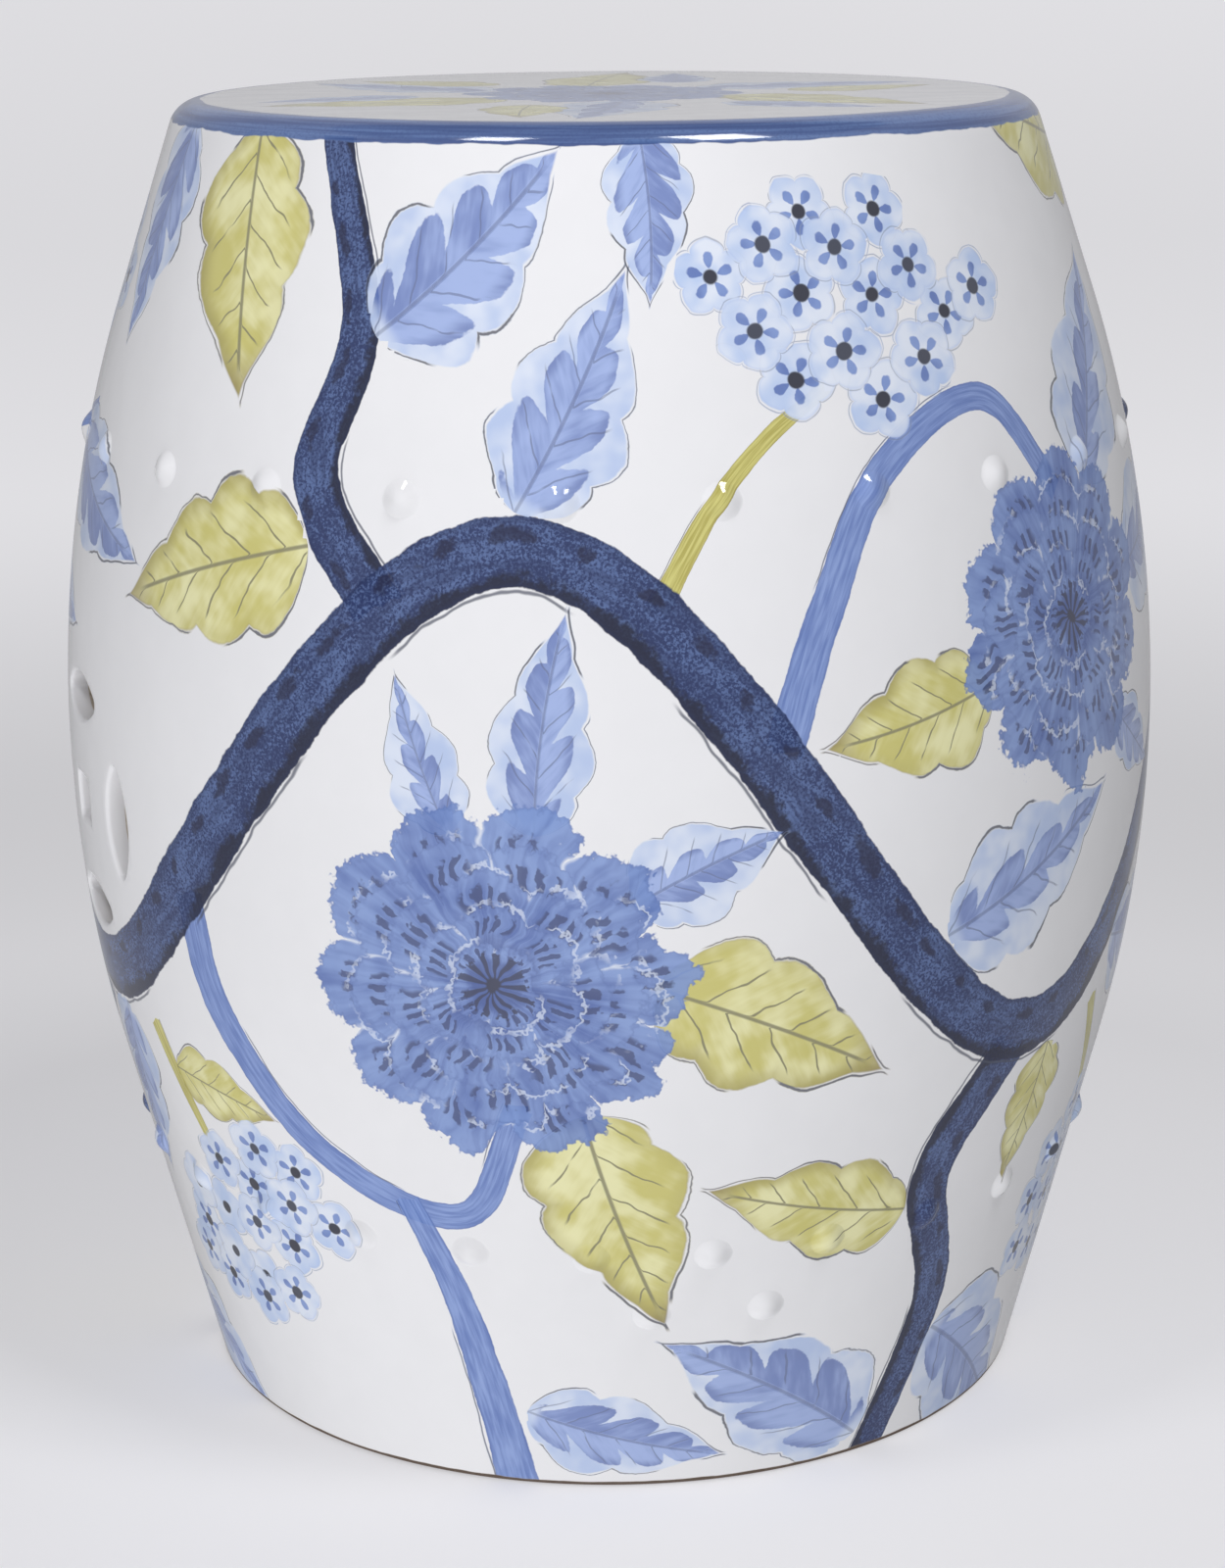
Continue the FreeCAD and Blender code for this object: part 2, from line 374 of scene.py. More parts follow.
def boss_tree():
    """Geometry Nodes tree that sets out a row of bosses round the barrel."""
    tree = bpy.data.node_groups.new("boss_row", "GeometryNodeTree")
    tree.is_modifier = True
    sockets = {"Count": "NodeSocketInt", "Glaze": "NodeSocketMaterial"}
    for name in ("Count", "Start", "Spacing", "Ring radius", "Height", "Lean", "Base radius", "Rise", "Sunk",
                 "Glaze"):
        tree.interface.new_socket(name, in_out="INPUT", socket_type=sockets.get(name, "NodeSocketFloat"))
    tree.interface.new_socket("Geometry", in_out="OUTPUT", socket_type="NodeSocketGeometry")
    inputs = tree.nodes.new("NodeGroupInput").outputs

    def node(kind, values=(), **settings):
        made = tree.nodes.new(kind)
        for key, value in settings.items():
            setattr(made, key, value)
        for place, value in values:
            if isinstance(value, bpy.types.NodeSocket):
                tree.links.new(value, made.inputs[place])
            else:
                made.inputs[place].default_value = value
        return made.outputs

    def maths(operation, first, second=0.0):
        return node("ShaderNodeMath", [(0, first), (1, second)], operation=operation)[0]

    dots = node("GeometryNodePoints", [("Count", inputs["Count"])])[0]
    index = node("GeometryNodeInputIndex")[0]
    turn = maths("ADD", inputs["Start"], maths("MULTIPLY", inputs["Spacing"], index))
    across = maths("MULTIPLY", maths("SINE", turn), inputs["Ring radius"])
    front = maths("MULTIPLY", maths("MULTIPLY", maths("COSINE", turn), inputs["Ring radius"]), -1.0)
    place = node("ShaderNodeCombineXYZ", [(0, across), (1, front), (2, inputs["Height"])])[0]
    dots = node("GeometryNodeSetPosition", [("Geometry", dots), ("Position", place)])[0]
    ball = node("GeometryNodeMeshUVSphere", [("Segments", 28), ("Rings", 16), ("Radius", 1.0)])[0]
    at = node("ShaderNodeSeparateXYZ", [(0, node("GeometryNodeInputPosition")[0])])
    dome = maths("MULTIPLY", maths("POWER", maths("MAXIMUM", at[2], 0.0), 3.0), inputs["Rise"])
    root = maths("MULTIPLY", maths("MINIMUM", at[2], 0.0), inputs["Sunk"])
    height = maths("SUBTRACT", maths("ADD", dome, root), 0.12 * MM)
    spread = node("ShaderNodeCombineXYZ", [(0, maths("MULTIPLY", at[0], inputs["Base radius"])),
                                           (1, maths("MULTIPLY", at[1], inputs["Base radius"])),
                                           (2, height)])[0]
    boss = node("GeometryNodeSetPosition", [("Geometry", ball), ("Position", spread)])[0]
    boss = node("GeometryNodeSetShadeSmooth", [("Geometry", boss), ("Shade Smooth", True)])[0]
    lean = node("ShaderNodeCombineXYZ", [(0, maths("SUBTRACT", math.pi / 2, inputs["Lean"])), (2, turn)])[0]
    lean = node("FunctionNodeEulerToRotation", [(0, lean)])[0]
    row = node("GeometryNodeInstanceOnPoints", [("Points", dots), ("Instance", boss), ("Rotation", lean)])[0]
    row = node("GeometryNodeRealizeInstances", [("Geometry", row)])[0]
    row = node("GeometryNodeSetMaterial", [("Geometry", row), ("Material", inputs["Glaze"])])[0]
    output = tree.nodes.new("NodeGroupOutput")
    tree.links.new(row, output.inputs[0])
    return tree


def boss_row(name, tree, glaze, count, start_deg, spacing_deg, height):
    """One row of bosses as a plain mesh."""
    holder = bpy.data.objects.new(name, bpy.data.meshes.new(name))
    bpy.context.scene.collection.objects.link(holder)
    values = {"Count": count, "Start": math.radians(start_deg), "Spacing": math.radians(spacing_deg),
              "Ring radius": float(wall_radius(height)), "Height": height,
              "Lean": math.asin((max(height, FOOT_CONE_TOP) - BELLY_HEIGHT) / SIDE_ARC_RADIUS),
              "Base radius": BOSS_BASE_RADIUS, "Rise": BOSS_RISE, "Sunk": BOSS_SUNK, "Glaze": glaze}
    modifier = holder.modifiers.new("row", "NODES")
    modifier.node_group = tree
    for item in tree.interface.items_tree:
        if item.in_out == "INPUT":
            modifier[item.identifier] = values[item.name]
    shown = holder.evaluated_get(bpy.context.evaluated_depsgraph_get())
    mesh = bpy.data.meshes.new_from_object(shown)
    holder.modifiers.clear()
    holder.data = mesh
    mesh.name = name
    return holder


# ---------------------------------------------------------------- brushwork: where it lies

HEIGHTS = np.linspace(-20 * MM, 470 * MM, 1000)
CLIMB = np.concatenate([[0], np.cumsum(np.hypot(np.diff(HEIGHTS), np.diff(wall_radius(HEIGHTS))))])

LAYERS = ("stem", "vine", "leaf_under", "leaf_over", "bloom", "spray")
# Each point's third number says what is drawn: a leaf's or stroke's colour, plus the motif's own seed.
OLIVE, BLUE = 0, 1
MID, NAVY, TWIG = 0, 30, 60
# How far past its drawn edge a motif's points reach, so that the mesh never cuts it.
MARGIN = 4.2 * MM
STROKE_MARGIN = 4.5 * MM
# A motif is drawn where its mask is above this, so never across its outermost faces.
WHOLE = 0.985
LINE_STEPS = 12
WALL, TOP = "wall", "top"
# Where the seat's own design ends, and how high the wall's may reach.
SEAT_FACE_RADIUS = 137.5 * MM
WALL_DESIGN_TOP = 445.5 * MM


# A leaf's half width along its length t is LEAF_BODY t^0.6 (1 - t)^1.2 of its full half width.
LEAF_BODY = 3.12


class Brushwork:
    """Works out, for each point of a glazed face, which brushed motif it belongs to and where in it.
    Each layer gives a point the motif's own coordinates (a vector) and whether it has any (a mask)."""

    def __init__(self, points, face):
        self.face = face
        self.points = points
        x, y, z = points.T
        self.turn = np.arctan2(x, -y)
        self.radius = np.hypot(x, y)
        self.z = z
        self.climb = np.interp(z, HEIGHTS, CLIMB)
        self.places = {layer: np.zeros((len(points), 3)) for layer in LAYERS}
        self.masks = {layer: np.zeros(len(points)) for layer in LAYERS}
        self.owners = {layer: np.zeros(len(points), int) for layer in LAYERS}
        self.motifs = 0

    def flat(self, where):
        """The face laid flat round a spot: across and up, in metres."""
        if self.face == TOP:
            return self.points[:, 0] - where[0] * MM, self.points[:, 1] - where[1] * MM
        across = (self.turn - math.radians(where[0]) + math.pi) % (2 * math.pi) - math.pi
        radius = float(wall_radius(where[1] * MM))
        return across * radius, self.climb - np.interp(where[1] * MM, HEIGHTS, CLIMB)

    def put(self, layer, rows, first, second, code):
        """Gives these points, which belong to one motif, their coordinates in it."""
        self.motifs += 1
        self.places[layer][rows] = np.stack([first, second, np.full(len(rows), code)], axis=1)
        self.masks[layer][rows] = 1.0
        self.owners[layer][rows] = self.motifs

    def axes(self, where, angle_deg, unit):
        """The face laid flat round a spot, in this unit: how far along an angle that is counted from
        straight up, and how far beside it."""
        across, up = self.flat(where)
        turn = math.radians(angle_deg)
        return ((across * math.sin(turn) + up * math.cos(turn)) / unit,
                (across * math.cos(turn) - up * math.sin(turn)) / unit)

    def leaf(self, layer, where, angle_deg, length, kind, seed, width=0.3, bend=0.0):
        """A leaf from its stalk end, at an angle counted from straight up towards +X."""
        along, beside = self.axes(where, angle_deg, length * MM)
        beside = (beside - bend * along ** 2) / width
        inner = np.clip(along, 0, 1)
        body = LEAF_BODY * inner ** 0.6 * (1 - inner) ** 1.2
        reach = MARGIN / (length * MM)
        belongs = (along > -reach) & (along < 1.03 + reach) & (np.abs(beside) < 1.16 * body + reach / width)
        rows = np.nonzero(belongs)[0]
        self.put(layer, rows, along[rows], beside[rows], kind + seed)

    def blossom(self, layer, where, turn_deg, radius, seed):
        """A blossom about its middle, in shares of its radius."""
        across, up = self.flat(where)
        turn = math.radians(turn_deg)
        first = (across * math.cos(turn) + up * math.sin(turn)) / (radius * MM)
        second = (up * math.cos(turn) - across * math.sin(turn)) / (radius * MM)
        rows = np.nonzero(np.hypot(first, second) < 1.06 + MARGIN / MM / radius)[0]
        self.put(layer, rows, first[rows], second[rows], seed)

    def spray(self, layer, where, angle_deg, pitch, seed):
        """An oval spray of small flowers that stand about this far apart, in shares of that pitch."""
        first, second = self.axes(where, angle_deg, pitch * MM)
        rows = np.nonzero((first / 2.6) ** 2 + (second / 2.0) ** 2 < 1)[0]
        self.put(layer, rows, first[rows], second[rows], seed)

    def stroke(self, layer, route, start_width, end_width, kind, seed):
        """A long brush stroke through a few spots, narrowing from one width to the other."""
        middle = route[len(route) // 2]
        across, up = self.flat(middle)
        spots = np.array([self.spot(place, middle) for place in route])
        line = smooth_line(spots, LINE_STEPS)
        steps = np.hypot(*np.diff(line, axis=0).T)
        lengths = np.concatenate([[0], np.cumsum(steps)])
        low, high = line.min(axis=0) - 30 * MM, line.max(axis=0) + 30 * MM
        chosen = np.nonzero((across > low[0]) & (across < high[0]) & (up > low[1]) & (up < high[1]))[0]
        if not len(chosen):
            return
        here = np.stack([across[chosen], up[chosen]], axis=1)
        closest = np.full(len(here), 1e9)
        along = np.zeros(len(here))
        beside = np.zeros(len(here))
        for i in range(len(line) - 1):
            run = line[i + 1] - line[i]
            share = np.clip(((here - line[i]) @ run) / (run @ run), 0, 1)
            offset = here - line[i] - share[:, None] * run
            far = np.hypot(*offset.T)
            better = far < closest
            side = np.sign(run[0] * offset[:, 1] - run[1] * offset[:, 0])
            closest[better] = far[better]
            along[better] = lengths[i] + share[better] * steps[i]
            beside[better] = (side * far)[better]
        half = 0.5 * MM * (start_width + (end_width - start_width) * along / lengths[-1])
        belongs = (closest < half * 1.15 + STROKE_MARGIN) & (along > 0) & (along < lengths[-1])
        rows = np.nonzero(belongs)[0]
        self.put(layer, chosen[rows], along[rows] / (10 * MM), beside[rows] / half[rows], kind + seed)

    def spot(self, place, middle):
        """A spot of a route, laid flat round the route's middle."""
        if self.face == TOP:
            return (place[0] - middle[0]) * MM, (place[1] - middle[1]) * MM
        across = math.radians(place[0] - middle[0])
        return (across * float(wall_radius(middle[1] * MM)),
                float(np.interp(place[1] * MM, HEIGHTS, CLIMB) - np.interp(middle[1] * MM, HEIGHTS, CLIMB)))

    def store(self, mesh):
        """Writes the layers on the mesh as attributes of its points."""
        edges = np.empty(len(mesh.edges) * 2, int)
        mesh.edges.foreach_get("vertices", edges)
        first, second = edges.reshape(-1, 2).T
        for layer in LAYERS:
            owner, mask = self.owners[layer], self.masks[layer]
            clash = (owner[first] != owner[second]) & (mask[first] > 0) & (mask[second] > 0)
            mask[first[clash]] = 0
            mask[second[clash]] = 0
            place = mesh.attributes.new(f"{layer}_place", "FLOAT_VECTOR", "POINT")
            place.data.foreach_set("vector", self.places[layer].astype(np.float32).ravel())
            mask = mesh.attributes.new(f"{layer}_mask", "FLOAT", "POINT")
            mask.data.foreach_set("value", self.masks[layer].astype(np.float32))


def smooth_line(spots, steps):
    """A smooth line through spots, with this many steps between each two."""
    ends = np.concatenate([[2 * spots[0] - spots[1]], spots, [2 * spots[-1] - spots[-2]]])
    line = []
    for before, start, end, after in zip(ends, ends[1:], ends[2:], ends[3:]):
        for t in np.linspace(0, 1, steps, endpoint=False):
            line.append(0.5 * (2 * start + (end - before) * t
                               + (2 * before - 5 * start + 4 * end - after) * t ** 2
                               + (3 * start - before - 3 * end + after) * t ** 3))
    return np.array(line + [spots[-1]])


# ---------------------------------------------------------------- brushwork: how it is drawn

def paint(red, green, blue):
    """A screen colour from 0 to 255 as the shader's linear colour."""
    return tuple((c / 255 / 12.92) if c <= 10 else ((c / 255 + 0.055) / 1.055) ** 2.4
                 for c in (red, green, blue)) + (1.0,)


def feed(tree, node, place, value):
    """Sets an input of a node: an ink is linked to it, and anything else is its fixed value."""
    if isinstance(value, Ink):
        tree.links.new(value.socket, node.inputs[place])
    else:
        node.inputs[place].default_value = value


class Ink:
    """A number or colour that a material works out as it is drawn, with ordinary sums on it."""

    def __init__(self, tree, socket):
        self.tree = tree
        self.socket = socket

    def maths(self, operation, *others):
        node = self.tree.nodes.new("ShaderNodeMath")
        node.operation = operation
        for place, value in enumerate((self, *others)):
            feed(self.tree, node, place, value)
        return Ink(self.tree, node.outputs[0])

    def __add__(self, other): return self.maths("ADD", other)
    def __radd__(self, other): return self.maths("ADD", other)
    def __sub__(self, other): return self.maths("SUBTRACT", other)
    def __rsub__(self, other): return (self * -1.0) + other
    def __mul__(self, other): return self.maths("MULTIPLY", other)
    def __rmul__(self, other): return self.maths("MULTIPLY", other)
    def __truediv__(self, other): return self.maths("DIVIDE", other)
    def __gt__(self, other): return self.maths("GREATER_THAN", other)
    def __lt__(self, other): return self.maths("LESS_THAN", other)
    def __pow__(self, other): return self.maths("POWER", other)
    def size(self): return self.maths("ABSOLUTE")
    def wave(self): return self.maths("SINE")
    def part(self): return self.maths("FRACT")
    def whole(self): return self.maths("FLOOR")
    def at_least(self, other): return self.maths("MAXIMUM", other)
    def at_most(self, other): return self.maths("MINIMUM", other)

    def ridge(self):
        """A zigzag that is 1 at each whole number and 0 half way between."""
        return ((self.part() - 0.5) * 2.0).size()

    def step(self, start, end, low=0.0, high=1.0):
        """A soft step from low to high between two values."""
        node = self.tree.nodes.new("ShaderNodeMapRange")
        node.interpolation_type = "SMOOTHSTEP"
        for name, value in (("Value", self), ("From Min", start), ("From Max", end), ("To Min", low),
                            ("To Max", high)):
            feed(self.tree, node, name, value)
        return Ink(self.tree, node.outputs[0])

    def fade(self, start, end):
        """A soft step down from 1 to 0 between two values."""
        return self.step(start, end, 1.0, 0.0)


class Palette:
    """The nodes of one material or of one of its groups."""

    def __init__(self, tree):
        self.tree = tree

    def node(self, kind, **settings):
        made = self.tree.nodes.new(kind)
        for key, value in settings.items():
            setattr(made, key, value)
        return made

    def ink(self, socket):
        return Ink(self.tree, socket)

    def mark(self, name, vector=False):
        """An attribute of the piece."""
        made = self.node("ShaderNodeAttribute", attribute_name=name)
        return self.ink(made.outputs["Vector" if vector else "Fac"])

    def vector(self, x=0.0, y=0.0, z=0.0):
        made = self.node("ShaderNodeCombineXYZ")
        for place, value in enumerate((x, y, z)):
            feed(self.tree, made, place, value)
        return self.ink(made.outputs[0])

    def split(self, vector):
        made = self.node("ShaderNodeSeparateXYZ")
        feed(self.tree, made, 0, vector)
        return [self.ink(output) for output in made.outputs]

    def grain(self, vector, scale, detail=2.0, roughness=0.5):
        """Cloudy noise, about 0.5 on average."""
        made = self.node("ShaderNodeTexNoise")
        for name, value in (("Scale", scale), ("Detail", detail), ("Roughness", roughness), ("Vector", vector)):
            feed(self.tree, made, name, value)
        return self.ink(made.outputs[0])

    def mix(self, share, under, over):
        """One colour brushed over another."""
        made = self.node("ShaderNodeMix", data_type="RGBA")
        for place, value in ((0, share), (6, under), (7, over)):
            feed(self.tree, made, place, value)
        return self.ink(made.outputs[2])


def group(name, draw):
    """A node group of one kind of motif. draw gets the motif's coordinates and the shared grains as inks,
    and returns a colour and how much of what lies under it that colour covers."""
    tree = bpy.data.node_groups.new(name, "ShaderNodeTree")
    for label in ("Place", "Mask", *GRAINS):
        kind = "NodeSocketVector" if label == "Place" else "NodeSocketFloat"
        tree.interface.new_socket(label, in_out="INPUT", socket_type=kind)
    tree.interface.new_socket("Colour", in_out="OUTPUT", socket_type="NodeSocketColor")
    tree.interface.new_socket("Cover", in_out="OUTPUT", socket_type="NodeSocketFloat")
    place, mask, *grains = [Ink(tree, socket) for socket in tree.nodes.new("NodeGroupInput").outputs[:-1]]
    colour, cover = draw(Palette(tree), place, *grains)
    output = tree.nodes.new("NodeGroupOutput")
    feed(tree, output, 0, colour)
    feed(tree, output, 1, cover * (mask > WHOLE))
    return tree


def draw_leaf(p, place, wobble, fine, cloud, _):
    """A brushed leaf, olive or blue: a wash with lobed edges, veins or strokes, and a loose outline."""
    along, beside, code = p.split(place)
    seed = code.part() * 23.0
    blue = code > BLUE
    far = beside.size()
    side = beside.step(-0.04, 0.04)
    body = (along - 0.005).at_least(0.0) ** 0.6 * (1.0 - along).at_least(0.0) ** 1.2 * LEAF_BODY
    lobe = (along * (2.6 + (seed * 7.0).part() * 1.2) + side * 0.45 + seed).part()
    scallop = (lobe - lobe * lobe) * 4.0
    rough = (wobble - 0.5) * 0.17 + (fine - 0.5) * 0.03
    edge = body * (0.80 + scallop * 0.21 + rough)
    inside = edge - far
    wash = inside.step(0.0, 0.045)
    rise = along - far * 0.30
    streak = p.grain(p.vector(rise * 17.0, far * 2.0, seed), 1.0, 2.0, 0.6)
    # olive: a yellow wash that gathers, browner, along one edge and at the tip
    gathers = (cloud * 1.5 + streak * 0.5 - 0.55).step(0.15, 0.75)
    olive = p.mix(gathers, paint(238, 235, 178), paint(204, 196, 92))
    shade = inside.step(0.0, 0.34, 0.80, 0.0) * (0.30 + side * 0.70) * cloud.step(0.25, 0.6, 0.5, 1.0)
    olive = p.mix(shade, olive, paint(160, 148, 44))
    brown = inside.step(0.0, 0.06, 0.7, 0.0) * (1.0 - side * 0.3) + (along - 0.2 * cloud).step(0.66, 0.90) * 0.55
    olive = p.mix(brown, olive, paint(130, 108, 40))
    phase = rise * 5.6 + side * 0.5 + (wobble - 0.5) * 0.5
    vein = phase.ridge().step(0.925, 0.965) * (far - body * 0.66).fade(-0.08, 0.04)
    vein = vein * streak.step(0.30, 0.42)
    # blue: a pale silhouette, with round-ended strokes of a stronger blue on each side of the midrib
    pale = p.mix((cloud * 1.6 - 0.3).step(0.2, 0.8), paint(221, 230, 249), paint(178, 198, 238))
    dab = rise * 3.9 + side * 0.5 + seed * 1.7 + (wobble - 0.5) * 0.20
    reach = body * (0.58 + 0.17 * (dab.whole() * 12.9 + seed).wave()) + 0.02
    depth = (far / reach).at_most(1.6)
    off = ((dab.part() - 0.5) * 2.0).size() * (0.74 + depth * 0.70)
    stroke = (1.0 - off ** 4.0 - depth ** 5.0 + (fine - 0.5) * 0.5).step(0.0, 0.22) * along.step(0.03, 0.09)
    each = ((dab.whole() + side * 7.0) * 12.9 + seed * 5.0).wave()
    strong = p.mix((streak + cloud * 0.7 + each * 0.24 - 0.45).step(0.10, 0.80),
                   paint(152, 175, 231), paint(84, 113, 186))
    strong = p.mix(depth.step(0.60, 0.95) * streak.step(0.3, 0.6, 0.35, 0.85), strong, paint(76, 104, 176))
    blue_leaf = p.mix(stroke * 0.92, pale, strong)
    colour = p.mix(blue, olive, blue_leaf)
    grey = p.mix(blue, paint(104, 100, 62), paint(62, 76, 120))
    midrib = (far - 0.020).fade(-0.010, 0.016) * along.step(0.92, 0.84) * along.step(-0.01, 0.01)
    colour = p.mix((vein * (0.85 - blue * 0.30)).at_least(midrib * (0.8 - blue * 0.35)), colour, grey)
    # outline, loose of the wash
    lifted = edge * 0.985 + 0.012 + (cloud - 0.5) * 0.15
    gap = (lifted - far).size() - 0.010 - 0.012 * (along * 5.0 + seed).wave().at_least(0.0)
    line = gap.fade(-0.010, 0.012) * along.step(0.0, 0.02) * along.step(1.03, 1.0)
    line = line * (along * 8.0 + seed + side * 2.6).wave().step(-0.86, -0.66)
    colour = p.mix(line, colour, paint(58, 62, 78))
    return colour, (wash * (0.94 - 0.10 * cloud)).at_least(line * 0.82)


def draw_stroke(p, place, wobble, fine, cloud, crystal):
    """A long brush stroke: mid blue and streaky, navy and crystalline, or an olive twig."""
    along, beside, code = p.split(place)
    twig = code > TWIG - 10
    dark = (code > NAVY - 10) - twig
    far = beside.size()
    streak = p.grain(p.vector(along * 0.42, beside * 3.6, code), 1.5, 2.0, 0.6)
    inside = 0.90 + (wobble - 0.5) * 0.30 + (fine - 0.5) * 0.06 - far
    cover = inside.step(0.0, 0.05) * (along * 6.0 + fine * 2.0).step(0.8, 1.6)
    rim = inside.fade(0.0, 0.22)
    mid = p.mix((streak * 1.5 + cloud * 0.4 - 0.45).step(0.15, 0.85), paint(136, 161, 219), paint(88, 118, 188))
    mid = p.mix(rim * 0.6, mid, paint(68, 96, 166))
    navy = p.mix((crystal + (cloud - 0.5) * 0.5).step(0.36, 0.66), paint(38, 54, 102), paint(88, 110, 160))
    navy = p.mix(streak.step(0.42, 0.62) * 0.55, navy, paint(34, 48, 94))
    shade = (beside * -1.0 + (wobble - 0.5) * 0.9 + (fine - 0.5) * 0.4).step(0.42, 0.70)
    navy = p.mix(shade * 0.92, navy, paint(22, 27, 54))
    row = along * 0.47 + cloud * 1.5
    mark = (((row.part() - 0.5) * (2.6 + cloud * 2.6)) ** 2.0
            + ((beside - 0.46 + (wobble - 0.5) * 0.6) * 5.2) ** 2.0)
    navy = p.mix((mark - (fine - 0.5) * 2.0).fade(0.3, 1.3) * 0.8, navy, paint(26, 31, 66))
    navy = p.mix(rim * 0.55, navy, paint(28, 40, 80))
    olive = p.mix(streak.step(0.35, 0.65), paint(212, 206, 118), paint(178, 168, 70))
    olive = p.mix(rim * 0.7, olive, paint(142, 126, 50))
    colour = p.mix(twig, p.mix(dark, mid, navy), olive)
    line = ((beside * (1.0 - dark * 2.0) - 0.97 - (cloud - 0.5) * 0.30).size() - 0.030).fade(-0.02, 0.03)
    line = line * (along * 0.5 + code).wave().step(-0.5, -0.2) * (along > 0.1)
    colour = p.mix(line, colour, paint(72, 78, 98))
    return colour, (cover * (0.93 + dark * 0.05)).at_least(line * 0.8)


def draw_blossom(p, place, wobble, fine, cloud, _):
    """A full blossom: whorls of fringed petals over each other, each petal with three short dark strokes."""
    first, second, seed = p.split(place)
    bend = (wobble - 0.5) * 0.16
    first = first + bend
    second = second - bend * 0.7
    reach = (first * first + second * second) ** 0.5
    turn = first.maths("ARCTAN2", second) / (2 * math.pi)
    angle = turn * (2 * math.pi)
    round_it = p.vector(angle.wave() * 13.0, (angle + math.pi / 2).wave() * 13.0, reach * 1.6)
    rays = p.grain(round_it, 1.0, 2.0, 0.6)
    cover, colour = None, None
    # petals, size and turn of each whorl, from the outermost in
    whorls = ((10, 0.99, 0.0), (9, 0.81, 0.45), (7, 0.62, 0.2), (6, 0.43, 0.7), (4, 0.25, 0.1))
    for petals, size, offset in whorls:
        place_in = turn * float(petals) + offset + seed * 3.0 + (cloud - 0.5) * 0.34
        middle = 1.0 - place_in.ridge()
        tip = size * (0.78 + 0.20 * middle ** 0.4 + (wobble - 0.5) * 0.20) + (fine - 0.5) * 0.10
        inside = tip - reach
        here = inside.step(0.0, 0.02)
        depth = (reach / tip).at_most(1.0)
        tone = (rays * 0.9 + cloud * 0.8 + depth * 0.35 - 0.72).step(0.0, 0.7)
        petal = p.mix(tone, paint(72, 100, 172), paint(130, 157, 215))
        petal = p.mix(inside.step(0.0, 0.045, 0.6, 0.0), petal, paint(72, 100, 170))
        petal = p.mix(depth.step(0.48, 0.76, 0.70, 0.0), petal, paint(56, 82, 150))
        sliver = middle.fade(0.0, 0.09) * depth.step(0.80, 0.93) * cloud.step(0.42, 0.56)
        petal = p.mix(sliver * 0.85, petal, paint(226, 233, 248))
        trio = 1.0 - (place_in * 6.0).ridge()
        marks = (trio - 0.42 + (fine - 0.5) * 0.5).step(0.0, 0.16) * middle.step(0.40, 0.52)
        marks = marks * ((depth - 0.76).size() - 0.09 - (wobble - 0.5) * 0.1).fade(-0.015, 0.015)
        petal = p.mix(marks * 0.85, petal, paint(42, 60, 116))
        if colour is None:
            colour, cover = petal, here
        else:
            gap = (inside + 0.012).size().fade(0.004, 0.018) * wobble.step(0.46, 0.58)
            colour = p.mix(here, colour, petal)
            colour = p.mix(gap * 0.7, colour, paint(214, 224, 246))
    eye = (turn * 13.0 + wobble).ridge().step(0.42, 0.62) * (reach - 0.08 - fine * 0.16).fade(0.0, 0.02)
    colour = p.mix(eye * 0.9, colour, paint(30, 40, 82))
    colour = p.mix((reach - 0.035).fade(0.0, 0.02), colour, paint(30, 38, 74))
    return colour, cover * (0.95 - cloud * 0.06)


def draw_spray(p, place, wobble, fine, cloud, _):
    """A spray of small open flowers: pale washes of five round petals, each with a blue dab, and black eyes.
    They are laid in two sets, the second over the gaps of the first."""
    first, second, seed = p.split(place)
    pale = p.mix((cloud * 1.8 - 0.4).step(0.2, 0.8), paint(229, 236, 251), paint(186, 206, 243))
    blue = p.mix(cloud.step(0.4, 0.6), paint(110, 140, 206), paint(78, 108, 180))
    colour, cover = None, None
    for offset in (0.0, 0.5):
        shift_x = seed * 40.0 + offset
        shift_y = seed * -40.0 + offset
        cells = p.node("ShaderNodeTexVoronoi", voronoi_dimensions="2D")
        shifted = p.vector(first + shift_x, second + shift_y)
        for name, value in (("Scale", 1.0), ("Randomness", 0.28), ("Vector", shifted)):
            feed(p.tree, cells, name, value)
        middle_x, middle_y, _ = p.split(p.ink(cells.outputs["Position"]))
        chance, _, turned = p.split(p.ink(cells.outputs["Color"]))
        x = first + shift_x - middle_x
        y = second + shift_y - middle_y
        home_x = (middle_x - shift_x) / 1.95
        home_y = (middle_y - shift_y) / 1.35
        grows = (home_x * home_x + home_y * home_y) < 1.0
        reach = (x * x + y * y) ** 0.5
        turn = x.maths("ARCTAN2", y) / (2 * math.pi)
        petal = 1.0 - (turn * 5.0 + turned * 5.0).ridge()
        tip = 0.345 + 0.115 * petal ** 0.5 + (wobble - 0.5) * 0.12 + chance * 0.03
        inside = tip - reach
        flower = p.mix(inside.step(0.0, 0.06, 0.45, 0.0), pale, paint(158, 182, 232))
        dab = ((reach - 0.185) * 9.6) ** 2.0 + ((1.0 - petal) * 1.9) ** 2.0 + (fine - 0.5) * 0.7
        flower = p.mix(dab.fade(0.6, 1.0) * (chance > 0.2) * 0.92, flower, blue)
        flower = p.mix((reach - 0.082 - (wobble - 0.5) * 0.08).fade(0.0, 0.028), flower, paint(22, 27, 50))
        line = ((tip + 0.008 + (cloud - 0.5) * 0.10 - reach).size() - 0.006).fade(-0.010, 0.011)
        line = line * wobble.step(0.30, 0.42)
        flower = p.mix(line * 0.85, flower, paint(92, 98, 120))
        here = (inside.step(0.0, 0.03) * 0.95).at_least(line * 0.8) * grows
        if colour is None:
            colour, cover = flower, here
        else:
            colour = p.mix(here, colour, flower)
            cover = cover.at_least(here)
    return colour, cover


